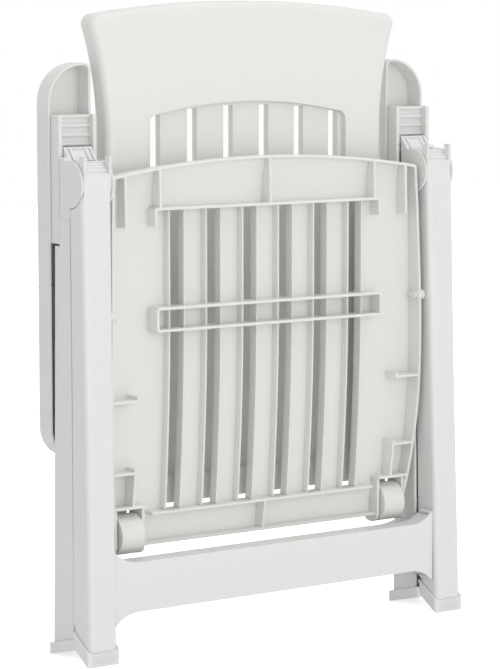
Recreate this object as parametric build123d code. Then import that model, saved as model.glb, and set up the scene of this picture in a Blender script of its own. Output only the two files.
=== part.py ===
"""Folding reclining armchair in moulded resin, modelled folded flat and standing on its feet.

Frame: X is the width, Y the depth and Z is up, with the origin on the floor in the middle of the
width and depth. The seat's underside faces -Y. The sizes below count the depth from the front edge
of the front feet, and nodes() moves every piece back to the middle at the end. Every right-hand
piece is drawn at positive X, and its left twin is its mirror image.
"""

from build123d import *
import math
import os

# ---------------------------------------------------------------- pivots, as (y, z)
APEX = (49.3, 600.0)          # front and rear legs hinge on each other here
SEAT_PIVOT = (32.0, 434.0)    # seat on the front legs
BACK_HINGE = (62.0, 151.0)    # seat's rear end on the backrest
ARM_PIVOT = (92.0, 340.0)     # armrest on the backrest's side

# ---------------------------------------------------------------- fits
RUNNING_FIT = 0.08            # radial, pin in a bore
SEAT_FIT = 0.3                # pieces of one frame that plug into each other
SIDE_PLAY = 0.8               # sideways, between a lug and its fork
BEYOND = 1000.0               # past every piece, for cuts that run right through
LAP = 1.0                     # how far forms of one piece run into each other

# ---------------------------------------------------------------- legs
# each level is (z, inner side, outer side, front, back)
LEG_WALL = 3.6
FRONT_LEG = ((-8.0, 256.0, 296.6, 0.4, 40.2),
             (330.0, 252.4, 292.8, 11.4, 45.2),
             (612.0, 248.5, 291.6, 20.8, 49.4))
FRONT_CORNER = 6.0
REAR_LEG = ((-8.0, 250.0, 295.8, 41.4, 95.3),
            (330.0, 248.4, 293.6, 46.4, 91.6),
            (522.0, 246.0, 292.8, 49.3, 89.5))
REAR_CORNER = 7.0
LEG_RIB_STEP = 74.0
LEG_RIB = 2.6
RIB_SET = 3.0                 # the ribs stand back from the leg's open side
SHOULDER = 34.0               # upright part of the rear leg above its shoulder, beside the rail
SHOULDER_BACK = 73.4          # and its back, in front of the rail

# ---------------------------------------------------------------- knuckle at the apex
CHEEK_RADIUS = 29.5
INNER_CHEEK = (245.0, 247.9)  # cheeks of the rear leg's fork
OUTER_CHEEK = (289.2, 292.2)
CHEEK_SKIN = 1.2              # closes the pin's bore outside
HEAD = (248.5, 288.6)         # round head of the front leg, between the cheeks
KNUCKLE_RADIUS = 28.6
RIDGE = 1.5                   # radius of the ridges across the head
RIDGE_TURNS = (108.0, 119.0, 130.0, 141.0)
LEDGE = (614.0, 617.6)        # front and back edge of the step above the leg's front
EAR_WALL = 3.2                # ears that stand up at both ends of the head
EAR_TOP, EAR_DEEP = 635.5, 10.5
LEDGE_DEEP = 8.0
HEAD_SET = 0.2                # the head's flat front stands back from the leg's
HEAD_RIM, HEAD_CHEEK = 5.0, 4.0    # walls of the hollow in the head, round it and at its ends
HEAD_HUB = 4.0                # wall about the apex pin in that hollow
HEAD_WEB = 2.0                # half thickness of the web across it
APEX_PIN = 6.0
PROP = (245.0, 286.0)         # inner and outer side of the prop, inside the armrest's rail
PROP_TOP = (74.5, 645.5)      # (y, z) of the edge that carries the armrest
PROP_FOOT = (58.5, 627.5)     # (y, z) where its ramp starts
PROP_SEAT = 633.0             # top of its part that joins the outer cheek
PROP_RIB = 3.4
PROP_SINK = 2.4               # depth of the ramp's panels between its ribs
PROP_PANEL = 0.86             # share of the ramp that the panels take
PROP_NARROW = 1.2             # width of the outer panels, in ribs
PROP_MOUTH, PROP_OVER = 6.0, 3.0    # how far their slanted ends open in front and at the top
PROP_LEAN = 0.4               # the prop's rear face stands this much further back at its foot

# ---------------------------------------------------------------- feet
FRONT_FOOT_SIDES = (3.7, 3.4)    # inner and outer wall of the foot beside its leg
REAR_FOOT_SIDES = (4.0, 3.2)
FOOT_CORNER = 4.0
FRONT_SOLE_ANGLE = 30.0
REAR_SOLE_ANGLE = 14.5
FOOT_BAND = 17.5              # upright height of the front foot's band
REAR_FOOT_BAND = 14.5
FOOT_SPLIT = (29.0, 39.6)     # depth of the line between the feet, at its foot and its top
FOOT_BACK = 98.2
FOOT_WALL = 3.0

# ---------------------------------------------------------------- crossbars
BAR_WALL = 3.6
FRONT_BAR = (60.0, 124.0)     # lower and upper edge
FRONT_BAR_FACE, FRONT_BAR_DEPTH = 10.0, 26.0
REAR_BAR = (60.0, 114.0)
REAR_BAR_FACE, REAR_BAR_DEPTH = 80.0, 30.0
BAR_RIBS = 5                  # cross ribs behind each bar's face
BAR_RIB = 2.6
BAR_RIB_SET = 4.0             # the ribs stand back from the flanges' edges
BAR_FLARE = 35.0              # length of the curve that runs each bar into its leg
FRONT_BAR_RISE, REAR_BAR_RISE = 17.0, 7.0    # height of that curve
FRONT_BAR_LEAN, REAR_BAR_LEAN = 1.8, 1.0    # from the leg's inner side at its foot to the bar's end
TENON = 7.0                   # how far a bar's tongue enters the leg
TENON_TALL = 34.0
TENON_DEEP = 14.0

# ---------------------------------------------------------------- seat
SEAT_WALL = 3.6
SEAT_SKIN = 3.4
SEAT_SIDE = ((229.0, 135.0), (245.8, 330.0), (239.8, 609.0))   # (x, z) at the rear, widest and front
SEAT_NOSE = 628.8             # top of the front edge, in the middle
SEAT_CORNER = 5.0
SEAT_RIM = ((50.0, 135.0), (27.6, 440.0), (33.0, 628.8))       # (y, z) of the near edge
SEAT_TOP = ((69.0, 135.0), (53.0, 440.0), (53.0, 580.0), (46.0, 622.0))   # (y, z) of the sitting side
SLOT_PITCH = 56.4
SLOTS = 6
SLOT_WIDE = 20.4
SEAT_SLOT_ENDS = (178.0, 564.0)
SLAT_LIP = 11.0               # depth of the lips along the slots
SLAT_LIP_WALL = 2.4
SEAT_RIB = 3.6
FRONT_RIB_Z, HALF_RIB = 566.0, 176.5
MID_RIBS = (412.0, 440.0)
REAR_RIB_Z = 176.0
NOSE_RIBS = (0.0, 169.3)
OUTER_NOSE_RIB = 221.0
HOOK_DROP = 22.0
SHELVES = (325.0, 232.0)
SHELF_IN = 204.0
SHELF_LUG = 6.0

# ---------------------------------------------------------------- hinge between seat and backrest
BARREL_RADIUS = 26.0
BARREL = (192.0, 226.0)       # inner and outer end of a barrel
HINGE_CHEEK = 4.0
HINGE_PIN = 6.0
HINGE_ARM_TOP = 200.0         # the barrels' arms run up inside the backrest to here
HINGE_ARM_SET, HINGE_ARM_DROP = 4.0, 6.0
HINGE_SKIN = 1.2              # closes the bore's outer end
HOUSING_TOP = 187.0
HOUSING_ROOF = 4.0
HOUSING_LAP = 6.0             # how far the housing's roof reaches past the barrel's inner end
CHEEK_NEAR, CHEEK_FAR, CHEEK_END = 46.0, 77.0, 125.0
CHEEK_ROUND = 13.0

# ---------------------------------------------------------------- seat pivot
SEAT_PIN = 4.5
SEAT_BOSS = 9.0
SEAT_EYE = 7.0                # radius of the seat's eye about the pin
EYE_SET = 2.5
EYE_FOOT = 6.0                # thickness of the foot that joins the eye to the seat
SEAT_PIN_INNER, SEAT_PIN_OUTER = 236.0, 267.0
LEG_BOSS = 269.0

# ---------------------------------------------------------------- backrest
BACK_FACE, BACK_DEPTH = 80.0, 27.0
BACK_WALL = 3.8
BACK_FOOT = 180.0
BACK_SIDE = ((228.0, 180.0), (217.6, 650.0), (243.5, 808.0))    # (x, z) at the foot, waist and top
BACK_CROWN = 827.0
BACK_EDGE_ROUND = 10.0
CROWN_ROUND = 13.0
PANEL_HALF = 156.0            # slotted panel, set back from the headrest
PANEL_FOOT = 216.0
PANEL_SIDE_TOP, PANEL_CROWN = 679.5, 697.0
PANEL_SINK = 9.0
PANEL_CORNER = 12.0
BACK_SLOT_WIDE = 15.0
BACK_SLOT_FOOT = 232.0
BACK_SLOT_TOPS = (692.0, 689.0, 682.0)    # from the middle outwards
BACK_LIP = 10.3
BACK_RIBS = (206.0, 330.0, 452.0, 574.0)
BACK_RIB = 3.0
BACK_RIB_SET = 3.0            # the ribs stand back from the shell's rear edge
ARM_BOSS = 5.0                # wall of the boss about the armrest's pin
ARM_BOSS_INNER = 203.0

# ---------------------------------------------------------------- armrest
ARM_IN, ARM_OUT = 234.0, 295.8
ARM_REAR, ARM_FRONT = 249.0, 749.0
ARM_RIM, ARM_TOP = 93.5, 125.0
ARM_WALL = 3.0
ARM_SKIN = 4.5
ARM_RIB = 9.0                 # depth of the ribs below the top
ARM_RIB_STEP = 60.0
ARM_FRONT_ROUND, ARM_REAR_ROUND, ARM_INNER_ROUND = 50.0, 40.0, 9.0
ARM_EDGE_ROUND = 5.0
ARM_EAR = 13.0
ARM_PIN = 6.0
ARM_PIN_INNER = 206.0
ARM_SHOULDER = 9.5
ARM_HEAD = 9.0
ARM_HEAD_THICK = 2.2

# ---------------------------------------------------------------- notched rail under the armrest
RAIL_FOOT, RAIL_END = 525.0, 685.0
RAIL_NEAR = 74.0
RAIL_WALL = 5.2
RAIL_END_WALL = 3.2
RAIL_FLOOR = 3.0
TOOTH_TIP = 82.2
TOOTH_DEEP = 3.4
TOOTH_HALF = (3.4, 1.0)       # half height of a tooth at its foot and its tip
FIRST_NOTCH = 630.7           # z of the notch for the upright position
NOTCH_PITCH = 11.6
NOTCHES = 5


# ---------------------------------------------------------------- helpers
def prism_x(points, x0, x1):
    """Return a straight-sided (y, z) outline pushed along X from x0 to x1."""
    face = make_face(Polyline(*points, close=True))
    return extrude(Plane.YZ.offset(x0) * face, amount=x1 - x0, dir=(1, 0, 0))


def wires_x(edges, x0, x1):
    """Return a closed run of (y, z) edges pushed along X from x0 to x1."""
    return extrude(Plane.YZ.offset(x0) * make_face(Wire(edges)), amount=x1 - x0, dir=(1, 0, 0))


def rod_x(centre, radius, x0, x1):
    """Return a cylinder along X about the (y, z) centre."""
    return extrude(Plane.YZ.offset(x0) * Pos(*centre) * Circle(radius), amount=x1 - x0, dir=(1, 0, 0))


def block(x, y, z):
    """Return a box from three (low, high) pairs."""
    size = (x[1] - x[0], y[1] - y[0], z[1] - z[0])
    return Pos(*((low + high) / 2 for low, high in (x, y, z))) * Box(*size)


def slab_y(face, y0, y1):
    """Return a face drawn in (x, z) pushed along Y from y0 to y1."""
    laid = Plane((0, y0, 0), x_dir=(1, 0, 0), z_dir=(0, -1, 0)) * face
    return extrude(laid, amount=y1 - y0, dir=(0, 1, 0))


def mirrored(shape):
    """Return the left-hand twin of a right-hand shape."""
    return mirror(shape, about=Plane.YZ)


def both_sides(shape):
    """Return a right-hand shape together with its twin."""
    return [shape, mirrored(shape)]


def slot_centres():
    """Return the x of each slot, evenly spaced about the middle."""
    return [(index - (SLOTS - 1) / 2) * SLOT_PITCH for index in range(SLOTS)]


# ---------------------------------------------------------------- legs
def leg_loft(levels, radius, near_corners):
    """Return a loft through rounded rectangles, given as (z, x0, x1, y0, y1).

    The rounded corners lie on the low-y side where near_corners is true, else on the high-y side.
    """
    faces = []
    for z, x0, x1, y0, y1 in levels:
        face = Pos((x0 + x1) / 2, (y0 + y1) / 2) * Rectangle(x1 - x0, y1 - y0)
        side = face.vertices().sort_by(Axis.Y)
        face = fillet(side[:2] if near_corners else side[2:], radius)
        faces.append(Plane.XY.offset(z) * face)
    return loft(faces, ruled=True)


def level_at(levels, z):
    """Return a leg's (inner side, outer side, front, back) at a height."""
    for low, high in zip(levels, levels[1:]):
        if z <= high[0]:
            break
    share = (z - low[0]) / (high[0] - low[0])
    return [a + (b - a) * share for a, b in zip(low[1:], high[1:])]


def leg_ribs(body, top, front, back):
    """Return the cross ribs inside a leg, each a slice of its body between two depths."""
    ribs = []
    height = LEG_RIB_STEP
    while height < top - LEG_RIB_STEP / 2:
        near, far = front(height), back(height)
        ribs.append(body & block((0, BEYOND), (near, far), (height, height + LEG_RIB)))
        height += LEG_RIB_STEP
    return ribs


def above_sole(angle, y_low, z_low):
    """Return the space above a slanted sole that starts at (y_low, z_low), right of the middle."""
    climb = math.tan(math.radians(angle)) * BEYOND
    points = [(y_low - BEYOND, z_low - climb), (y_low + BEYOND, z_low + climb), (y_low + BEYOND, BEYOND),
              (y_low - BEYOND, BEYOND)]
    return prism_x(points, 0, BEYOND)


def front_leg():
    """Return the right front leg: a channel open to the rear with a round head at the apex."""
    inner = [(z, x0 + LEG_WALL, x1 - LEG_WALL, y0 + LEG_WALL, y1 + LEG_WALL)
             for z, x0, x1, y0, y1 in FRONT_LEG]
    body = leg_loft(FRONT_LEG, FRONT_CORNER, True)
    top = FRONT_LEG[-1][0]
    cap = block((0, BEYOND), (0, BEYOND), (top - LEG_WALL, BEYOND))
    leg = body - (leg_loft(inner, FRONT_CORNER - LEG_WALL, True) - cap)
    leg += leg_ribs(body, APEX[1] - KNUCKLE_RADIUS, lambda z: 0,
                    lambda z: level_at(FRONT_LEG, z)[3] - RIB_SET)
    leg += seat_pin_boss()
    # the outer cheek of the rear leg turns in this round recess
    leg -= rod_x(APEX, CHEEK_RADIUS + SIDE_PLAY, HEAD[1], BEYOND)
    leg += front_head()
    pin_side = level_at(FRONT_LEG, SEAT_PIVOT[1])[0]
    leg -= rod_x(SEAT_PIVOT, SEAT_PIN + RUNNING_FIT, pin_side - LEG_WALL, SEAT_PIN_OUTER + SEAT_FIT)
    leg -= rod_x(APEX, APEX_PIN + RUNNING_FIT, HEAD[0] - LEG_WALL, HEAD[1] + LEG_WALL)
    leg -= tenon(FRONT_BAR_FACE, FRONT_BAR, bar_half(FRONT_LEG, FRONT_BAR_LEAN), SEAT_FIT)
    # the lower rear corner is cut back along the line between the feet
    slope = math.tan(math.radians(FRONT_SOLE_ANGLE))
    low, high = ((depth, depth * slope + rise) for depth, rise in zip(FOOT_SPLIT, (0, FOOT_BAND)))
    leg &= split_side(low, high, FOOT_WALL + SEAT_FIT, True)
    return leg & above_sole(FRONT_SOLE_ANGLE, 0.0, FOOT_WALL + SEAT_FIT)


def seat_pin_boss():
    """Return the boss behind the leg's inner wall that holds the seat's pivot pin."""
    side, _, front, back = level_at(FRONT_LEG, SEAT_PIVOT[1])
    start = side + LEG_WALL / 2
    boss = rod_x(SEAT_PIVOT, SEAT_BOSS, start, LEG_BOSS)
    stem = block((start, LEG_BOSS), (front + LEG_WALL - LAP, SEAT_PIVOT[0]),
                 (SEAT_PIVOT[1] - LEG_RIB, SEAT_PIVOT[1] + LEG_RIB))
    return (boss + stem) & block((0, BEYOND), (0, back), (0, BEYOND))


def front_head():
    """Return the front leg's round head: ridges across it, a step in front and an ear at each end."""
    y, z = APEX
    head = rod_x(APEX, KNUCKLE_RADIUS, *HEAD)
    for turn in RIDGE_TURNS:
        run, rise = math.cos(math.radians(turn)), math.sin(math.radians(turn))
        head += rod_x((y + KNUCKLE_RADIUS * run, z + KNUCKLE_RADIUS * rise), RIDGE, *HEAD)
    face = FRONT_LEG[-1][3] + HEAD_SET
    step = [(face, z), (face, LEDGE[0]), (face + LEDGE_DEEP, LEDGE[1]), (y, LEDGE[1]), (y, z)]
    head += prism_x(step, *HEAD)
    pocket = rod_x(APEX, KNUCKLE_RADIUS - HEAD_RIM, HEAD[0] + HEAD_CHEEK, HEAD[1] - HEAD_CHEEK)
    pocket -= rod_x(APEX, APEX_PIN + HEAD_HUB, *HEAD)
    head -= pocket - block(HEAD, (y - KNUCKLE_RADIUS, y + KNUCKLE_RADIUS), (z - HEAD_WEB, z + HEAD_WEB))
    ear = [(face, z), (face, EAR_TOP), (face + EAR_DEEP, EAR_TOP), (face + EAR_DEEP, z)]
    for x0 in (HEAD[0], HEAD[1] - EAR_WALL):
        head += prism_x(ear, x0, x0 + EAR_WALL)
    return head & block(HEAD, (0, SHOULDER_BACK), (0, BEYOND))


def rear_leg():
    """Return the right rear leg: a channel open to the front, forked about the front leg's head."""
    inner = [(z, x0 + LEG_WALL, x1 - LEG_WALL, y0 - LEG_WALL, y1 - LEG_WALL)
             for z, x0, x1, y0, y1 in REAR_LEG]
    body = leg_loft(REAR_LEG, REAR_CORNER, False)
    top = REAR_LEG[-1][0]
    cap = block((0, BEYOND), (0, BEYOND), (top - LEG_WALL, BEYOND))
    leg = body - (leg_loft(inner, REAR_CORNER - LEG_WALL, False) - cap)
    leg += leg_ribs(body, top, lambda z: level_at(REAR_LEG, z)[2] + RIB_SET, lambda z: BEYOND)
    x0, x1, front, _ = REAR_LEG[-1][1:]
    shoulder = block((x0, x1), (front, SHOULDER_BACK), (top - LAP, top + SHOULDER))
    shoulder -= block((x0 + LEG_WALL, x1 - LEG_WALL), (0, SHOULDER_BACK - LEG_WALL), (top, BEYOND))
    leg += shoulder
    leg += fork_cheek(*INNER_CHEEK)
    leg += fork_cheek(*OUTER_CHEEK)
    leg += prop()
    # room for the front leg's round head between the cheeks
    leg -= rod_x(APEX, KNUCKLE_RADIUS + RIDGE + SIDE_PLAY, INNER_CHEEK[1], OUTER_CHEEK[0])
    leg -= rod_x(APEX, APEX_PIN + RUNNING_FIT, INNER_CHEEK[0] - LEG_WALL, OUTER_CHEEK[1] - CHEEK_SKIN)
    half = bar_half(REAR_LEG, REAR_BAR_LEAN)
    leg -= tenon(REAR_BAR_FACE - TENON_DEEP - 2 * BAR_WALL, REAR_BAR, half, SEAT_FIT)
    return leg & above_sole(-REAR_SOLE_ANGLE, FOOT_BACK, FOOT_WALL + SEAT_FIT)


def fork_cheek(x0, x1):
    """Return one cheek of the rear leg's fork: a round eye that runs down into the leg's side."""
    y, z = APEX
    front, top = REAR_LEG[-1][3], REAR_LEG[-1][0]
    side = [(front, top), (SHOULDER_BACK, top), (SHOULDER_BACK, z), (y, z), (front, z - CHEEK_RADIUS)]
    stem = prism_x(side, x0, x1)
    return (rod_x(APEX, CHEEK_RADIUS, x0, x1) + stem) & block((x0, x1), (0, SHOULDER_BACK), (0, BEYOND))


def prop():
    """Return the wedge between the fork's cheeks that carries the armrest, with ribs up its ramp."""
    y, z = APEX
    outline = [PROP_FOOT, PROP_TOP, (PROP_TOP[0] + PROP_LEAN, PROP_SEAT),
               (SHOULDER_BACK, z), (y + 2 * APEX_PIN, z)]
    wedge = prism_x(outline, *PROP)
    low = block((0, BEYOND), (0, SHOULDER_BACK), (0, PROP_SEAT))
    wedge += prism_x(outline, PROP[0], OUTER_CHEEK[1]) & low
    slope = math.atan2(PROP_TOP[1] - PROP_FOOT[1], PROP_TOP[0] - PROP_FOOT[0])
    sink_y = PROP_SINK * math.sin(slope)
    sink_z = PROP_SINK * math.cos(slope)
    reach_y = (PROP_TOP[0] - PROP_FOOT[0]) * PROP_PANEL
    reach_z = (PROP_TOP[1] - PROP_FOOT[1]) * PROP_PANEL
    panel = [(PROP_FOOT[0] - PROP_MOUTH, PROP_FOOT[1]), (PROP_FOOT[0] + sink_y, PROP_FOOT[1] - sink_z),
             (PROP_FOOT[0] + reach_y + sink_y, PROP_FOOT[1] + reach_z - sink_z),
             (PROP_FOOT[0] + reach_y, PROP_FOOT[1] + reach_z + PROP_OVER)]
    first = PROP[0] + PROP_RIB
    last = PROP[1] - PROP_RIB
    gap = PROP_RIB * PROP_NARROW
    middle = (first + gap + PROP_RIB, last - gap - PROP_RIB)
    for x0, x1 in ((first, first + gap), middle, (last - gap, last)):
        wedge -= prism_x(panel, x0, x1)
    return wedge


# ---------------------------------------------------------------- feet
def front_foot():
    """Return the right front foot: a flared cap with a slanted sole, closed below and open above."""
    slope = math.tan(math.radians(FRONT_SOLE_ANGLE))
    low, high = FOOT_SPLIT
    outline = [(0, 0), (low, low * slope), (high, high * slope + FOOT_BAND), (0, FOOT_BAND)]
    return foot_cap(outline, foot_sides(FRONT_LEG, FRONT_FOOT_SIDES), FRONT_SOLE_ANGLE, 0.0)


def rear_foot():
    """Return the right rear foot, whose sole slants the other way."""
    slope = math.tan(math.radians(REAR_SOLE_ANGLE))
    low = FOOT_SPLIT[0] + 2 * SEAT_FIT
    foot_z = (FOOT_BACK - low) * slope
    # the front edge leans like the front foot's back edge, up to the top of this band
    rise = FOOT_BAND + (FOOT_SPLIT[1] - FOOT_SPLIT[0]) * math.tan(math.radians(FRONT_SOLE_ANGLE))
    lean = (FOOT_SPLIT[1] - FOOT_SPLIT[0]) / rise
    top_z = ((FOOT_BACK - low + lean * foot_z) * slope + REAR_FOOT_BAND) / (1 + lean * slope)
    high = low + lean * (top_z - foot_z)
    outline = [(low, foot_z), (FOOT_BACK, 0), (FOOT_BACK, REAR_FOOT_BAND), (high, top_z)]
    return foot_cap(outline, foot_sides(REAR_LEG, REAR_FOOT_SIDES), -REAR_SOLE_ANGLE, FOOT_BACK)


def split_side(low, high, gap, front):
    """Return the space on one side of the slanted line between the feet, set back from it by gap."""
    run = (high[0] - low[0]) / (high[1] - low[1])
    shift = -gap if front else gap
    edge = [(low[0] + shift - BEYOND * run, low[1] - BEYOND),
            (high[0] + shift + BEYOND * run, high[1] + BEYOND)]
    far = -BEYOND if front else BEYOND
    return prism_x([*edge, (edge[1][0] + far, edge[1][1]), (edge[0][0] + far, edge[0][1])], 0, BEYOND)


def foot_sides(levels, walls):
    """Return a foot's inner and outer side, a wall beyond the leg's on each."""
    return levels[0][1] - walls[0], levels[0][2] + walls[1]


def foot_cap(outline, sides, angle, y_low):
    """Return a cap of the given (y, z) outline with a socket for the leg's end."""
    cap = prism_x(outline, *sides)
    upright = cap.edges().filter_by(lambda edge: abs((edge @ 1 - edge @ 0).X) < 0.01)
    tall = [edge for edge in upright if abs((edge @ 1 - edge @ 0).Y) < 0.01]
    cap = fillet(tall, FOOT_CORNER)
    front = angle > 0
    fit = SEAT_FIT
    if front:
        levels = [(z, x0 - fit, x1 + fit, y0 - fit, BEYOND) for z, x0, x1, y0, y1 in FRONT_LEG]
    else:
        levels = [(z, x0 - fit, x1 + fit, -BEYOND, y1 + fit) for z, x0, x1, y0, y1 in REAR_LEG]
    corner = FRONT_CORNER if front else REAR_CORNER
    socket = leg_loft(levels, corner, front) & above_sole(angle, y_low, FOOT_WALL)
    low, high = outline[1 if front else 0], outline[2 if front else 3]
    socket &= split_side(low, high, FOOT_WALL, front)
    return cap - socket


# ---------------------------------------------------------------- crossbars
def bar_half(levels, lean):
    """Return half of a crossbar's width between its legs."""
    return levels[0][1] - lean


def bar_outline(half, low, high, rise, inset):
    """Return a crossbar's (x, z) face, curving out at both ends where it meets the legs."""
    half, low, high = half - inset, low + inset, high - inset
    bend = half - BAR_FLARE
    top = Line((-bend, high), (bend, high))
    bottom = Line((bend, low), (-bend, low))
    corners = [
        TangentArc((bend, high), (half, high + rise), tangent=(1, 0)),
        Line((half, high + rise), (half, low - rise)),
        TangentArc((bend, low), (half, low - rise), tangent=(1, 0)),
        TangentArc((-bend, low), (-half, low - rise), tangent=(-1, 0)),
        Line((-half, low - rise), (-half, high + rise)),
        TangentArc((-bend, high), (-half, high + rise), tangent=(-1, 0)),
    ]
    return make_face(Wire([top, *corners, bottom]))


def crossbar(half, edges, rise, face_y, depth, toward):
    """Return a channel-shaped bar; its flanges run from the face in the given Y direction."""
    low, high = edges
    face = bar_outline(half, low, high, rise, 0)
    inside = bar_outline(half, low, high, rise, BAR_WALL)
    near, far = sorted((face_y, face_y + toward * depth))
    web = face_y + toward * BAR_WALL
    bar = slab_y(face, near, far)
    if toward > 0:
        hollow = slab_y(inside, web, BEYOND)
    else:
        hollow = slab_y(inside, 0, web)
    bar -= hollow
    for index in range(BAR_RIBS):
        x = ((index + 1) * 2 / (BAR_RIBS + 1) - 1) * half
        bar += block((x - BAR_RIB / 2, x + BAR_RIB / 2),
                     (near + BAR_RIB_SET, far) if toward < 0 else (near, far - BAR_RIB_SET),
                     (low + BAR_WALL / 2, high - BAR_WALL / 2))
    tongue_y = FRONT_BAR_FACE if toward > 0 else REAR_BAR_FACE - TENON_DEEP - 2 * BAR_WALL
    bar += both_sides(tenon(tongue_y, edges, half, 0.0))
    return bar


def tenon(face_y, edges, x, fit):
    """Return the tongue that joins a crossbar to a leg, grown by fit to make its mortise."""
    middle = sum(edges) / 2
    y0 = face_y + BAR_WALL
    return block((x - BAR_WALL / 2, x + TENON + fit), (y0 - fit, y0 + TENON_DEEP + fit),
                 (middle - TENON_TALL / 2 - fit, middle + TENON_TALL / 2 + fit))


# ---------------------------------------------------------------- seat
def seat_outline(inset):
    """Return the seat's (x, z) face, inset by a wall."""
    rear, widest, front = ((x - inset, z) for x, z in SEAT_SIDE)
    rear = (rear[0], rear[1] + inset)
    front = (front[0], front[1] - inset)
    edges = [TangentArc(widest, rear, tangent=(0, -1)), TangentArc(widest, front, tangent=(0, 1))]
    edges += [mirror(edge, about=Plane.YZ).edge() for edge in edges]
    nose = ThreePointArc(front, (0, SEAT_NOSE - inset), (-front[0], front[1]))
    face = make_face(Wire([*edges, nose, Line((-rear[0], rear[1]), rear)]))
    return fillet(face.vertices().sort_by(Axis.Y)[-2:], SEAT_CORNER - inset)


def seat_profile(near, far):
    """Return the space between two (y, z) curves of the seat, across the width."""
    low, bend, high = near
    rear, flat, turn, lip = far
    below = low[1] - 30
    edges = [
        Line(high, bend),
        TangentArc(bend, low, tangent=(bend[0] - high[0], bend[1] - high[1])),
        Line(low, (low[0], below)),
        Line((low[0], below), (rear[0], below)),
        Line((rear[0], below), rear),
        TangentArc(flat, rear, tangent=(0, -1)),
        Line(flat, turn),
        TangentArc(turn, lip, tangent=(0, 1)),
        Line(lip, (lip[0], high[1] + 6)),
        Line((lip[0], high[1] + 6), (high[0], high[1] + 6)),
        Line((high[0], high[1] + 6), high),
    ]
    return wires_x(edges, -BEYOND, BEYOND)


def shifted(points, dy):
    """Return (y, z) points moved by dy."""
    return [(y + dy, z) for y, z in points]


def seat():
    """Return the seat: a ribbed pan with six slots, hinge housings and pivot bosses."""
    full = slab_y(seat_outline(0), 0, BEYOND) & seat_profile(SEAT_RIM, SEAT_TOP)
    room = slab_y(seat_outline(SEAT_WALL), -BEYOND, BEYOND) & seat_profile(
        shifted(SEAT_RIM, -SEAT_RIM[0][0]), shifted(SEAT_TOP, -SEAT_SKIN))
    pan = full - room
    slots = [block((x - SLOT_WIDE / 2, x + SLOT_WIDE / 2), (0, BEYOND), SEAT_SLOT_ENDS)
             for x in slot_centres()]
    pan -= slots
    skin_line = (SEAT_TOP[0], SEAT_TOP[1], (SEAT_TOP[1][0], SEAT_NOSE))
    lips_zone = full & seat_profile(shifted(skin_line, -SEAT_SKIN - SLAT_LIP),
                                    shifted(SEAT_TOP, -SEAT_SKIN / 2))
    lips = []
    for x in slot_centres():
        for side in (-1, 1):
            edge = x + side * (SLOT_WIDE + SLAT_LIP_WALL) / 2
            wall = (edge - SLAT_LIP_WALL / 2, edge + SLAT_LIP_WALL / 2)
            lips.append(block(wall, (0, BEYOND), SEAT_SLOT_ENDS))
    pan += [lips_zone & lip for lip in lips]
    # ribs end inside the walls that they meet
    core = slab_y(seat_outline(SEAT_WALL / 2), 0, BEYOND)
    core &= seat_profile(SEAT_RIM, shifted(SEAT_TOP, -SEAT_SKIN / 2))
    pan += [core & rib for rib in seat_ribs()]
    for side in both_sides(hinge_room()):
        pan -= side
    pan += both_sides(hinge_cheeks() + seat_boss())
    pan -= both_sides(rod_x(BACK_HINGE, HINGE_PIN + RUNNING_FIT, *hinge_bore(0)))
    return pan - both_sides(rod_x(SEAT_PIVOT, SEAT_PIN + RUNNING_FIT, SEAT_PIN_INNER, BEYOND))


def seat_ribs():
    """Return the boxes whose common part with the seat's body is its ribs."""
    half = SEAT_RIB / 2
    deep = (0, BEYOND)
    ribs = [block((-HALF_RIB, HALF_RIB), deep, (z - half, z + half))
            for z in (FRONT_RIB_Z, *MID_RIBS, REAR_RIB_Z)]
    for x in NOSE_RIBS:
        for centre in sorted({x, -x}):
            ribs.append(block((centre - half, centre + half), deep, (FRONT_RIB_Z - half, SEAT_NOSE + 5)))
    for side in (-1, 1):
        x = side * HALF_RIB
        ribs.append(block((x - half, x + half), deep, (FRONT_RIB_Z - HOOK_DROP, FRONT_RIB_Z)))
        ribs.append(block((x - half, x + half), deep, MID_RIBS))
        outer = side * OUTER_NOSE_RIB
        ribs.append(block((outer - half, outer + half), deep, (FRONT_RIB_Z - HOOK_DROP, SEAT_NOSE + 5)))
        for z in SHELVES:
            span = sorted((side * SHELF_IN, side * BEYOND))
            ribs.append(block(span, deep, (z - half, z + half)))
            lug = sorted((side * SHELF_IN, side * (SHELF_IN + SEAT_RIB)))
            ribs.append(block(lug, deep, (z, z + SHELF_LUG)))
        wall = sorted((side * SHELF_IN, side * (SHELF_IN + SEAT_RIB)))
        ribs.append(block(wall, deep, (HOUSING_TOP, SHELVES[1])))
        ribs.append(block(sorted((side * (BARREL[0] - HOUSING_LAP), side * BEYOND)), deep,
                          (HOUSING_TOP - HOUSING_ROOF / 2, HOUSING_TOP + HOUSING_ROOF / 2)))
    ribs.append(block((-half, half), deep, (SEAT_SIDE[0][1], REAR_RIB_Z)))
    return ribs


def hinge_room():
    """Return the space that the seat leaves open about the right barrel and its arm."""
    return block((BARREL[0] - SIDE_PLAY * 2, BARREL[1] + SIDE_PLAY * 2), (0, BEYOND),
                 (0, HOUSING_TOP - HOUSING_ROOF / 2))


def hinge_bore(play):
    """Return the ends of the right hinge bore, less the play that its pin has in length."""
    inner = BARREL[0] - 2 * SIDE_PLAY - HINGE_CHEEK
    outer = BARREL[1] + 2 * SIDE_PLAY + HINGE_CHEEK - HINGE_SKIN
    return inner + play, outer - play


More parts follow.
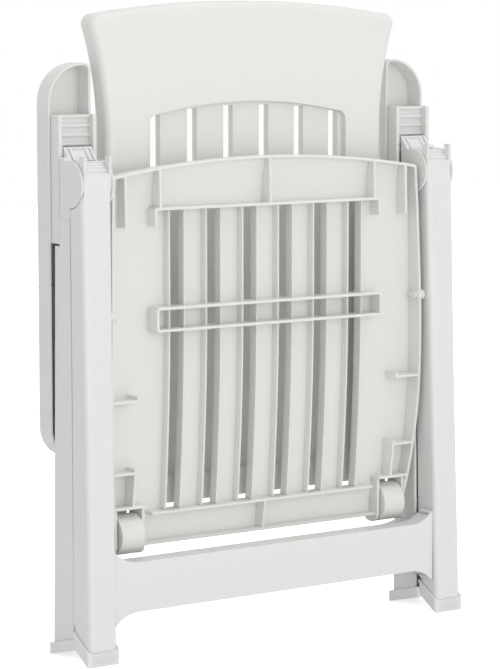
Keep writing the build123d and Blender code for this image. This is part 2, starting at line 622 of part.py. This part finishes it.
def hinge_cheeks():
    """Return the two cheeks that hold the right hinge pin."""
    inner = BARREL[0] - 2 * SIDE_PLAY
    outer = BARREL[1] + 2 * SIDE_PLAY
    outline = Pos((CHEEK_NEAR + CHEEK_FAR) / 2, (CHEEK_END + HOUSING_TOP) / 2) * Rectangle(
        CHEEK_FAR - CHEEK_NEAR, HOUSING_TOP - CHEEK_END)
    outline = fillet(outline.vertices().sort_by(Axis.Y)[:2], CHEEK_ROUND)
    cheeks = []
    for x0 in (inner - HINGE_CHEEK, outer):
        cheeks.append(extrude(Plane.YZ.offset(x0) * outline, amount=HINGE_CHEEK, dir=(1, 0, 0)))
    return cheeks[0] + cheeks[1]


def seat_boss():
    """Return the boss on the seat's right flank that turns on its pivot pin."""
    y, z = SEAT_PIVOT
    side = level_at(FRONT_LEG, z)[0]
    start = SEAT_PIN_INNER + EYE_SET
    eye = rod_x(SEAT_PIVOT, SEAT_EYE, start, side - SIDE_PLAY)
    foot = block((start, SEAT_SIDE[1][0] - EYE_FOOT / 2), (y, SEAT_TOP[1][0] - EYE_SET),
                 (z - EYE_FOOT / 2, z + EYE_FOOT / 2))
    return eye + foot


# ---------------------------------------------------------------- backrest
def back_outline(inset):
    """Return the backrest's (x, z) face, inset by a wall."""
    foot, waist, top = ((x - inset, z) for x, z in BACK_SIDE)
    foot = (foot[0], foot[1] + inset)
    top = (top[0], top[1] - inset)
    edges = [Line(foot, waist), TangentArc(waist, top, tangent=(waist[0] - foot[0], waist[1] - foot[1]))]
    edges += [mirror(edge, about=Plane.YZ).edge() for edge in edges]
    crown = ThreePointArc(top, (0, BACK_CROWN - inset), (-top[0], top[1]))
    face = make_face(Wire([*edges, crown, Line((-foot[0], foot[1]), foot)]))
    return fillet(face.vertices().sort_by(Axis.Y)[-2:], CROWN_ROUND - inset)


def panel_outline(grow):
    """Return the (x, z) face of the slotted panel below the headrest, grown by a wall."""
    half = PANEL_HALF + grow
    low, high = PANEL_FOOT - grow, PANEL_SIDE_TOP + grow
    arch = ThreePointArc((half, high), (0, PANEL_CROWN + grow), (-half, high))
    sides = Polyline((-half, high), (-half, low), (half, low), (half, high))
    face = make_face(Wire([arch, *sides.edges()]))
    return fillet(face.vertices().sort_by(Axis.Y)[2:], PANEL_CORNER + grow)


def backrest():
    """Return the backrest: a shell open to the rear, with a slotted panel and two hinge barrels."""
    far = BACK_FACE + BACK_DEPTH
    shell = slab_y(back_outline(0), BACK_FACE, far)
    near_edges = shell.edges().group_by(Axis.Y)[0]
    shell = fillet([edge for edge in near_edges if (edge @ 0.5).Z > BACK_FOOT + 1], BACK_EDGE_ROUND)
    inside = slab_y(back_outline(BACK_WALL), BACK_FACE + BACK_WALL, BEYOND)
    shell -= fillet(inside.edges().group_by(Axis.Y)[0], BACK_EDGE_ROUND - BACK_WALL)
    shell += slab_y(panel_outline(BACK_WALL), BACK_FACE + LAP, BACK_FACE + PANEL_SINK + BACK_WALL)
    shell -= slab_y(panel_outline(0), 0, BACK_FACE + PANEL_SINK)
    floor_y = BACK_FACE + PANEL_SINK
    for index, x in enumerate(slot_centres()):
        top = BACK_SLOT_TOPS[int(abs(index - (SLOTS - 1) / 2))]
        edge = BACK_SLOT_WIDE / 2
        shell += block((x - edge - SLAT_LIP_WALL, x + edge + SLAT_LIP_WALL), (floor_y, floor_y + BACK_LIP),
                       (BACK_SLOT_FOOT - SLAT_LIP_WALL, top + SLAT_LIP_WALL))
        shell -= block((x - edge, x + edge), (0, BEYOND), (BACK_SLOT_FOOT, top))
    body = slab_y(back_outline(LAP), floor_y + LAP, far - BACK_RIB_SET)
    for z in BACK_RIBS:
        shell += body & block((-BEYOND, BEYOND), (0, BEYOND), (z - BACK_RIB / 2, z + BACK_RIB / 2))
    shell += both_sides(hinge_arm())
    shell += both_sides(rod_x(ARM_PIVOT, ARM_PIN + ARM_BOSS, ARM_BOSS_INNER, back_half(ARM_PIVOT[1]) - LAP))
    shell -= both_sides(rod_x(ARM_PIVOT, ARM_PIN + RUNNING_FIT, ARM_PIN_INNER - SEAT_FIT, BEYOND))
    return shell - both_sides(rod_x(BACK_HINGE, HINGE_PIN + RUNNING_FIT, *hinge_bore(0)))


def back_half(z):
    """Return the backrest's half width at a height, straight between the points of its side."""
    for (x0, z0), (x1, z1) in zip(BACK_SIDE, BACK_SIDE[1:]):
        if z0 <= z <= z1:
            return x0 + (x1 - x0) * (z - z0) / (z1 - z0)
    return BACK_SIDE[-1][0]


def hinge_arm():
    """Return the right barrel with the arm that joins it to the backrest."""
    y, z = BACK_HINGE
    barrel = rod_x(BACK_HINGE, BARREL_RADIUS, *BARREL)
    far = BACK_FACE + BACK_DEPTH - HINGE_ARM_SET
    arm = [(BACK_FACE, z), (BACK_FACE, HINGE_ARM_TOP), (far, HINGE_ARM_TOP),
           (far, BACK_FOOT - HINGE_ARM_SET), (y + BARREL_RADIUS - LAP, z - HINGE_ARM_DROP)]
    return barrel + prism_x(arm, *BARREL)


# ---------------------------------------------------------------- armrest
def arm_outline(inset):
    """Return the right armrest's (x, z) face, inset by a wall."""
    inner, outer, rear, front = ARM_IN + inset, ARM_OUT - inset, ARM_REAR + inset, ARM_FRONT - inset
    face = Pos((inner + outer) / 2, (rear + front) / 2) * Rectangle(outer - inner, front - rear)
    rounds = ((outer, front, ARM_FRONT_ROUND), (outer, rear, ARM_REAR_ROUND),
              (inner, front, ARM_INNER_ROUND), (inner, rear, ARM_INNER_ROUND))
    widest = ARM_OUT - ARM_IN - ARM_INNER_ROUND
    for x, z, radius in rounds:
        corner = [v for v in face.vertices() if abs(v.X - x) < 0.01 and abs(v.Y - z) < 0.01]
        face = fillet(corner, min(radius, widest) - inset)
    return face


def armrest():
    """Return the right armrest: a shell open below, with an ear for its pivot pin."""
    shell = slab_y(arm_outline(0), ARM_RIM, ARM_TOP)
    shell = fillet(shell.edges().group_by(Axis.Y)[-1], ARM_EDGE_ROUND)
    shell -= slab_y(arm_outline(ARM_WALL), 0, ARM_TOP - ARM_SKIN)
    ear = rod_x(ARM_PIVOT, ARM_EAR, ARM_IN, ARM_IN + ARM_WALL)
    (y, z), root = ARM_PIVOT, ARM_TOP - ARM_SKIN
    web = [(y, z - ARM_EAR), (root, z - 2 * ARM_EAR), (root, z + 2 * ARM_EAR), (y, z + ARM_EAR)]
    ear += prism_x(web, ARM_IN, ARM_IN + ARM_WALL)
    shell += ear
    across, deep = (ARM_IN + LAP, ARM_OUT - LAP), (root - ARM_RIB, ARM_TOP - LAP)
    for low in (ARM_REAR + ARM_RIB_STEP, z + ARM_RIB_STEP, RAIL_FOOT - ARM_RIB_STEP):
        shell += block(across, deep, (low, low + LEG_RIB))
    return shell - rod_x(ARM_PIVOT, ARM_PIN + RUNNING_FIT, ARM_IN - ARM_WALL, ARM_IN + 2 * ARM_WALL)


def arm_rail():
    """Return the right notched rail: a box channel whose toothed floor rests on the rear leg's prop."""
    x0 = ARM_IN + ARM_WALL + SEAT_FIT
    x1 = ARM_OUT - ARM_WALL - SEAT_FIT
    top = ARM_TOP - ARM_SKIN
    rail = block((x0, x1), (RAIL_NEAR, top), (RAIL_FOOT, RAIL_END))
    inner = (x0 + RAIL_WALL, x1 - RAIL_WALL)
    floor_y = TOOTH_TIP + TOOTH_DEEP
    ends = (RAIL_FOOT + RAIL_END_WALL, RAIL_END - RAIL_END_WALL)
    rail -= block(inner, (0, floor_y), (0, BEYOND))
    rail -= block(inner, (floor_y + RAIL_FLOOR, BEYOND), ends)
    foot, tip = TOOTH_HALF
    for index in range(NOTCHES + 1):
        z = FIRST_NOTCH + (index - 0.5) * NOTCH_PITCH
        tooth = [(floor_y + LAP, z - foot), (floor_y, z - foot), (TOOTH_TIP, z - tip), (TOOTH_TIP, z + tip),
                 (floor_y, z + foot), (floor_y + LAP, z + foot)]
        rail += prism_x(tooth, *inner)
    rail &= block((x0, x1), (RAIL_NEAR, top), (RAIL_FOOT, RAIL_END))
    return rail


# ---------------------------------------------------------------- pins
def apex_pin():
    """Return the right apex pin, flush with the fork's inner cheek and blind in the outer one."""
    return rod_x(APEX, APEX_PIN, INNER_CHEEK[0], OUTER_CHEEK[1] - CHEEK_SKIN - SEAT_FIT)


def seat_pin():
    """Return the right pin on which the seat turns."""
    return rod_x(SEAT_PIVOT, SEAT_PIN, SEAT_PIN_INNER, SEAT_PIN_OUTER)


def hinge_pin():
    """Return the right pin of the seat and backrest hinge."""
    return rod_x(BACK_HINGE, HINGE_PIN, *hinge_bore(SEAT_FIT))


def arm_pin():
    """Return the right armrest pin, with a shoulder that spaces the armrest and a head inside it."""
    side = back_half(ARM_PIVOT[1])
    pin = rod_x(ARM_PIVOT, ARM_PIN, ARM_PIN_INNER, ARM_IN + ARM_WALL + SEAT_FIT)
    pin += rod_x(ARM_PIVOT, ARM_SHOULDER, side + SIDE_PLAY / 2, ARM_IN - SIDE_PLAY / 2)
    head = ARM_IN + ARM_WALL + SEAT_FIT
    return pin + rod_x(ARM_PIVOT, ARM_HEAD, head, head + ARM_HEAD_THICK)


# ---------------------------------------------------------------- nodes
def nodes():
    """Return every node's name with its shape."""
    made = {
        "seat": seat(),
        "backrest": backrest(),
        "front_crossbar": crossbar(bar_half(FRONT_LEG, FRONT_BAR_LEAN), FRONT_BAR, FRONT_BAR_RISE,
                                   FRONT_BAR_FACE, FRONT_BAR_DEPTH, 1),
        "rear_crossbar": crossbar(bar_half(REAR_LEG, REAR_BAR_LEAN), REAR_BAR, REAR_BAR_RISE,
                                  REAR_BAR_FACE, REAR_BAR_DEPTH, -1),
    }
    hinge = hinge_pin()
    made["hinge_pins"] = Compound(children=[Solid(pin.solid().wrapped) for pin in (hinge, mirrored(hinge))])
    pairs = {
        "front_leg": front_leg,
        "rear_leg": rear_leg,
        "front_foot": front_foot,
        "rear_foot": rear_foot,
        "armrest": armrest,
        "arm_rail": arm_rail,
        "apex_pin": apex_pin,
        "seat_pin": seat_pin,
        "arm_pin": arm_pin,
    }
    for name, make in pairs.items():
        right = make()
        made[f"{name}_right"] = right
        made[f"{name}_left"] = mirrored(right)
    to_middle = Pos(0, -ARM_TOP / 2, 0)
    return {name: to_middle * shape for name, shape in made.items()}


def main():
    """Write one STEP file for each node."""
    os.makedirs("parts", exist_ok=True)
    for name, shape in nodes().items():
        export_step(shape, f"parts/{name}.step")
        print(f"{name}: {len(shape.solids())} solids, {shape.volume / 1000:.1f} cm3")


if __name__ == "__main__":
    main()
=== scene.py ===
"""Dresses and lights a folding reclining garden armchair, which stands folded on its feet.

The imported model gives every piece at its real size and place. This script gives each piece its
moulded resin finish, breaks the small edges as a mould does, and sets up a plain studio.
"""

import logging
import math
from dataclasses import dataclass, field
from enum import Enum

import bpy
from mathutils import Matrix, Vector


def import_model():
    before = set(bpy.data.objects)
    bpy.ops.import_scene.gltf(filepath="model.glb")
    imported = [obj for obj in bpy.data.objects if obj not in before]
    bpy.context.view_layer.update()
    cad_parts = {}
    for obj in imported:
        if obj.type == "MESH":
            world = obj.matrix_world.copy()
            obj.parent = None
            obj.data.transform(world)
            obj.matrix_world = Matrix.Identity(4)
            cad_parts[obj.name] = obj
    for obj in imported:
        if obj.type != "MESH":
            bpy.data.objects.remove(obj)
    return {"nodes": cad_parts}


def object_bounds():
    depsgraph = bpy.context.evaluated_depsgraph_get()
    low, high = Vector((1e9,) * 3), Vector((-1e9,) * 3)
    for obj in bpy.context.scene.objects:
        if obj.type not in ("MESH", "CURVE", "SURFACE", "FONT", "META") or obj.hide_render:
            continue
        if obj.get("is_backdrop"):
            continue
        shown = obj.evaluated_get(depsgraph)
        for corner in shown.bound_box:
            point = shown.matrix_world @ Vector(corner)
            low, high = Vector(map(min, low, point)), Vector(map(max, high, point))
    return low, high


LOG = logging.getLogger("chair")
RESIN_IOR = 1.49
COAT_ROUGHNESS = 0.22
HAZE_TINT = (1.0, 1.0, 0.9)
WHITE = (1.0, 1.0, 1.0, 1.0)
SENSOR_WIDTH = 36.0


class Family(Enum):
    """The families of pieces that share one finish."""

    LEG = "leg"
    PANEL = "panel"
    ARM = "arm"
    FOOT = "foot"
    PIN = "pin"


NODE_FAMILIES = {
    "front_leg": Family.LEG,
    "rear_leg": Family.LEG,
    "front_crossbar": Family.LEG,
    "rear_crossbar": Family.LEG,
    "seat": Family.PANEL,
    "backrest": Family.PANEL,
    "armrest": Family.ARM,
    "arm_rail": Family.ARM,
    "front_foot": Family.FOOT,
    "rear_foot": Family.FOOT,
    "apex_pin": Family.PIN,
    "seat_pin": Family.PIN,
    "arm_pin": Family.PIN,
    "hinge_pins": Family.PIN,
}


def family_of(node: str) -> Family:
    """Return the family of a node.

    Args:
        node: The node's name, with or without its side.

    Returns:
        The family whose finish the node gets.
    """
    stem = node.removesuffix("_left").removesuffix("_right")
    return NODE_FAMILIES[stem]


@dataclass(frozen=True)
class Resin:
    """A white moulded resin finish.

    Attributes:
        colour: Linear base colour.
        roughness: Mean roughness of the moulded skin.
        mottling: How far the flow of the resin shifts the colour.
        grain_height: Height of the fine grain, in metres.
        edge_radius: Radius to which the mould breaks the small edges, in metres.
        coat: Weight of the thin glossy skin.
        haze: Share of the light that spreads inside the resin.
        haze_depth: How deep that light goes, in metres.
    """

    colour: tuple[float, float, float] = (0.765, 0.765, 0.755)
    roughness: float = 0.36
    mottling: float = 0.014
    grain_height: float = 0.00003
    edge_radius: float = 0.0011
    coat: float = 0.18
    haze: float = 0.35
    haze_depth: float = 0.006


FINISHES = {
    Family.LEG: Resin(),
    Family.PANEL: Resin(colour=(0.765, 0.765, 0.739), roughness=0.38),
    Family.ARM: Resin(colour=(0.75, 0.75, 0.737), roughness=0.34),
    Family.FOOT: Resin(colour=(0.79, 0.79, 0.78), roughness=0.42, edge_radius=0.0014),
    Family.PIN: Resin(colour=(0.78, 0.78, 0.77), roughness=0.4, edge_radius=0.0006),
}


class ResinSkin:
    """The shader node group that all the resin finishes share.

    Attributes:
        NAME: The group's name.
        FLOW: Cells in each metre, and octaves, of the flow that mottles the colour.
        PATCH: The same of the patches where the gloss is uneven.
        GRAIN: The same of the fine grain.
        UNEVENNESS: How far the patches raise the roughness.
        EDGE_SAMPLES: Rays that find the small edges.
    """

    NAME = "resin_skin"
    FLOW = (9.0, 3.0)
    PATCH = (38.0, 2.0)
    GRAIN = (2400.0, 2.0)
    UNEVENNESS = 0.10
    EDGE_SAMPLES = 6

    def __init__(self) -> None:
        """Build the group once, with named inputs and outputs."""
        self.tree = bpy.data.node_groups.new(self.NAME, "ShaderNodeTree")
        self._sockets()
        self._nodes()

    def _sockets(self) -> None:
        face = self.tree.interface
        face.new_socket(name="Colour", in_out="INPUT", socket_type="NodeSocketColor")
        for name in ("Roughness", "Mottling", "Grain Height", "Edge Radius"):
            face.new_socket(name=name, in_out="INPUT", socket_type="NodeSocketFloat")
        face.new_socket(name="Base Color", in_out="OUTPUT", socket_type="NodeSocketColor")
        face.new_socket(name="Roughness", in_out="OUTPUT", socket_type="NodeSocketFloat")
        face.new_socket(name="Normal", in_out="OUTPUT", socket_type="NodeSocketVector")

    def _noise(self, kind: tuple[float, float],
               coords: bpy.types.NodeSocket) -> bpy.types.NodeSocket:
        """Add a noise texture.

        Args:
            kind: Noise cells in each metre and number of octaves.
            coords: The socket with the coordinates.

        Returns:
            The noise value's socket.
        """
        node = self.tree.nodes.new("ShaderNodeTexNoise")
        node.inputs["Scale"].default_value, node.inputs["Detail"].default_value = kind
        self.tree.links.new(coords, node.inputs["Vector"])
        return node.outputs["Fac"]

    def _centred(self, value: bpy.types.NodeSocket,
                 amount: bpy.types.NodeSocket) -> bpy.types.NodeSocket:
        """Return (value - 0.5) * amount.

        Args:
            value: A socket between 0 and 1.
            amount: The socket that scales it.

        Returns:
            The socket of the result.
        """
        less = self.tree.nodes.new("ShaderNodeMath")
        less.operation = "SUBTRACT"
        less.inputs[1].default_value = 0.5
        self.tree.links.new(value, less.inputs[0])
        times = self.tree.nodes.new("ShaderNodeMath")
        times.operation = "MULTIPLY"
        self.tree.links.new(less.outputs[0], times.inputs[0])
        self.tree.links.new(amount, times.inputs[1])
        return times.outputs[0]

    def _nodes(self) -> None:
        """Wire the flow mottling, the skin's uneven gloss, the grain and the broken edges."""
        nodes, links = self.tree.nodes, self.tree.links
        given = nodes.new("NodeGroupInput").outputs
        result = nodes.new("NodeGroupOutput").inputs
        coords = nodes.new("ShaderNodeTexCoord").outputs["Object"]
        flow = self._noise(self.FLOW, coords)
        tint = nodes.new("ShaderNodeHueSaturation")
        links.new(given["Colour"], tint.inputs["Color"])
        lift = nodes.new("ShaderNodeMath")
        lift.operation = "ADD"
        lift.inputs[0].default_value = 1.0
        links.new(self._centred(flow, given["Mottling"]), lift.inputs[1])
        links.new(lift.outputs[0], tint.inputs["Value"])
        links.new(tint.outputs["Color"], result["Base Color"])
        patch = self._noise(self.PATCH, coords)
        uneven = nodes.new("ShaderNodeMath")
        uneven.operation = "MULTIPLY_ADD"
        uneven.inputs[1].default_value = self.UNEVENNESS
        links.new(patch, uneven.inputs[0])
        links.new(given["Roughness"], uneven.inputs[2])
        links.new(uneven.outputs[0], result["Roughness"])
        edge = nodes.new("ShaderNodeBevel")
        edge.samples = self.EDGE_SAMPLES
        links.new(given["Edge Radius"], edge.inputs["Radius"])
        grain = nodes.new("ShaderNodeBump")
        grain.inputs["Strength"].default_value = 1.0
        links.new(given["Grain Height"], grain.inputs["Distance"])
        links.new(self._noise(self.GRAIN, coords), grain.inputs["Height"])
        links.new(edge.outputs["Normal"], grain.inputs["Normal"])
        links.new(grain.outputs["Normal"], result["Normal"])


@dataclass
class Wardrobe:
    """Makes one material for each family and puts it on the pieces."""

    skin: ResinSkin
    made: dict[Family, bpy.types.Material] = field(default_factory=dict)

    def material(self, family: Family) -> bpy.types.Material:
        """Return the family's material, made on first use.

        Args:
            family: The family of pieces.

        Returns:
            The material.
        """
        if family in self.made:
            return self.made[family]
        finish = FINISHES[family]
        material = bpy.data.materials.new(f"resin_{family.value}")
        material.use_nodes = True
        nodes, links = material.node_tree.nodes, material.node_tree.links
        shader = nodes["Principled BSDF"]
        group = nodes.new("ShaderNodeGroup")
        group.node_tree = self.skin.tree
        group.inputs["Colour"].default_value = (*finish.colour, 1.0)
        group.inputs["Roughness"].default_value = finish.roughness
        group.inputs["Mottling"].default_value = finish.mottling
        group.inputs["Grain Height"].default_value = finish.grain_height
        group.inputs["Edge Radius"].default_value = finish.edge_radius
        for name in ("Base Color", "Roughness", "Normal"):
            links.new(group.outputs[name], shader.inputs[name])
        shader.inputs["IOR"].default_value = RESIN_IOR
        shader.inputs["Subsurface Weight"].default_value = finish.haze
        shader.inputs["Subsurface Radius"].default_value = HAZE_TINT
        shader.inputs["Subsurface Scale"].default_value = finish.haze_depth
        shader.inputs["Coat Weight"].default_value = finish.coat
        shader.inputs["Coat Roughness"].default_value = COAT_ROUGHNESS
        self.made[family] = material
        return material

    def dress(self, node: str, piece: bpy.types.Object) -> None:
        """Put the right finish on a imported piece.

        Args:
            node: The node's name.
            piece: Its object.
        """
        material = self.material(family_of(node))
        if not piece.material_slots:
            piece.data.materials.append(material)
        for place in piece.material_slots:
            place.material = material


@dataclass(frozen=True)
class Lamp:
    """A square soft lamp that faces the middle of the object.

    Attributes:
        name: The lamp's name.
        place: Its place, in metres.
        size: Its side, in metres.
        power: Its power, in watts.
    """

    name: str
    place: tuple[float, float, float]
    size: float
    power: float


LAMPS = (
    Lamp("front_lamp", (-0.3, -3.7, 1.0), 2.4, 37.0),
    Lamp("side_lamp", (-3.4, -0.4, 1.4), 2.0, 1.0),
    Lamp("top_lamp", (0.4, -0.6, 3.4), 2.4, 18.0),
)


@dataclass
class Studio:
    """A pale floor, a bright backdrop behind everything, soft lamps and the camera.

    Attributes:
        middle: Centre of the object, in metres.
        floor_size: Side of the floor, in metres.
        floor_colour: Linear colour of the floor.
        floor_roughness: Roughness of the floor.
        floor_glow: Light that the floor adds for the camera's rays alone.
        ambient: Strength of the plain light from all around.
        backdrop_glow: Strength of the backdrop where a ray sees it straight or in a gloss.
        azimuth: The camera's direction, in degrees from +Y towards +X.
        pitch: How far the camera looks down, in degrees.
        eye: The camera's place, in metres.
        lens: Focal length in millimetres on a 36 mm sensor.
        far: How far the camera sees, in metres.
    """

    middle: Vector
    floor_size: float = 14.0
    floor_colour: tuple[float, float, float] = (0.95, 0.95, 0.95)
    floor_roughness: float = 0.7
    floor_glow: float = 0.72
    ambient: float = 0.70
    backdrop_glow: float = 1.0
    azimuth: float = 34.76
    pitch: float = 6.79
    eye: tuple[float, float, float] = (-2.015, -2.88675, 0.812)
    lens: float = 145.7
    far: float = 60.0

    def floor(self) -> None:
        """Lay the floor, which the camera sees as white but which still takes shadows."""
        half = self.floor_size / 2
        corners = [(-half, -half, 0.0), (half, -half, 0.0), (half, half, 0.0), (-half, half, 0.0)]
        mesh = bpy.data.meshes.new("floor")
        mesh.from_pydata(corners, [], [(0, 1, 2, 3)])
        floor = bpy.data.objects.new("floor", mesh)
        bpy.context.scene.collection.objects.link(floor)
        material = bpy.data.materials.new("floor")
        material.use_nodes = True
        shader = material.node_tree.nodes["Principled BSDF"]
        shader.inputs["Base Color"].default_value = (*self.floor_colour, 1.0)
        shader.inputs["Roughness"].default_value = self.floor_roughness
        self._glow(material, shader)
        floor.data.materials.append(material)
        floor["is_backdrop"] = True

    def _glow(self, material: bpy.types.Material, shader: bpy.types.ShaderNode) -> None:
        """Add a little light to the floor for the camera's rays alone.

        Args:
            material: The floor's material.
            shader: Its principled shader.
        """
        nodes, links = material.node_tree.nodes, material.node_tree.links
        path = nodes.new("ShaderNodeLightPath")
        amount = nodes.new("ShaderNodeMath")
        amount.operation = "MULTIPLY"
        amount.inputs[1].default_value = self.floor_glow
        links.new(path.outputs["Is Camera Ray"], amount.inputs[0])
        shader.inputs["Emission Color"].default_value = WHITE
        links.new(amount.outputs[0], shader.inputs["Emission Strength"])

    def backdrop(self) -> None:
        """Set the world: grey light, and white where a ray sees it straight or in a gloss."""
        world = bpy.data.worlds.new("studio")
        bpy.context.scene.world = world
        world.use_nodes = True
        nodes, links = world.node_tree.nodes, world.node_tree.links
        dim = nodes["Background"]
        bright = nodes.new("ShaderNodeBackground")
        for light, strength in ((dim, self.ambient), (bright, self.backdrop_glow)):
            light.inputs["Color"].default_value = WHITE
            light.inputs["Strength"].default_value = strength
        path = nodes.new("ShaderNodeLightPath")
        seen = path.outputs["Is Camera Ray"]
        for kind in ("Is Transmission Ray", "Is Glossy Ray"):
            either = nodes.new("ShaderNodeMath")
            either.operation = "MAXIMUM"
            links.new(seen, either.inputs[0])
            links.new(path.outputs[kind], either.inputs[1])
            seen = either.outputs[0]
        mix = nodes.new("ShaderNodeMixShader")
        links.new(seen, mix.inputs["Fac"])
        links.new(dim.outputs[0], mix.inputs[1])
        links.new(bright.outputs[0], mix.inputs[2])
        links.new(mix.outputs[0], nodes["World Output"].inputs["Surface"])

    def hang(self, lamp: Lamp) -> None:
        """Hang a lamp so that it faces the middle of the object.

        Args:
            lamp: The lamp.
        """
        light = bpy.data.lights.new(lamp.name, "AREA")
        light.size = lamp.size
        light.energy = lamp.power
        hung = bpy.data.objects.new(lamp.name, light)
        hung.location = lamp.place
        towards = self.middle - Vector(lamp.place)
        hung.rotation_euler = towards.to_track_quat("-Z", "Y").to_euler()
        bpy.context.scene.collection.objects.link(hung)

    def camera(self) -> None:
        """Place the camera."""
        data = bpy.data.cameras.new("camera")
        data.sensor_width = SENSOR_WIDTH
        data.lens = self.lens
        data.clip_end = self.far
        camera = bpy.data.objects.new("camera", data)
        camera.location = self.eye
        turn, down = math.radians(self.azimuth), math.radians(self.pitch)
        level = math.cos(down)
        look = Vector((math.sin(turn) * level, math.cos(turn) * level, -math.sin(down)))
        camera.rotation_euler = look.to_track_quat("-Z", "Y").to_euler()
        bpy.context.scene.collection.objects.link(camera)
        bpy.context.scene.camera = camera

    def build(self) -> None:
        """Set up the whole studio."""
        self.floor()
        self.backdrop()
        for lamp in LAMPS:
            self.hang(lamp)
        self.camera()
        bpy.context.scene.view_settings.view_transform = "Standard"


def corners(bounds: tuple) -> list[list[float]]:
    """Return a box's two corners as plain lists.

    Args:
        bounds: The lowest and highest corner.

    Returns:
        The two corners as lists of numbers.
    """
    return [[float(value) for value in corner] for corner in bounds]


def main() -> None:
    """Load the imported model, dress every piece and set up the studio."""
    logging.basicConfig(level=logging.INFO, format="%(name)s: %(message)s")
    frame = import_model()
    solid_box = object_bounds()
    middle = (Vector(solid_box[0]) + Vector(solid_box[1])) / 2
    wardrobe = Wardrobe(ResinSkin())
    for node, piece in sorted(frame["nodes"].items()):
        wardrobe.dress(node, piece)
        LOG.info("%s dressed as %s", node, family_of(node).value)
    Studio(middle=middle).build()


if __name__ == "__main__":
    main()
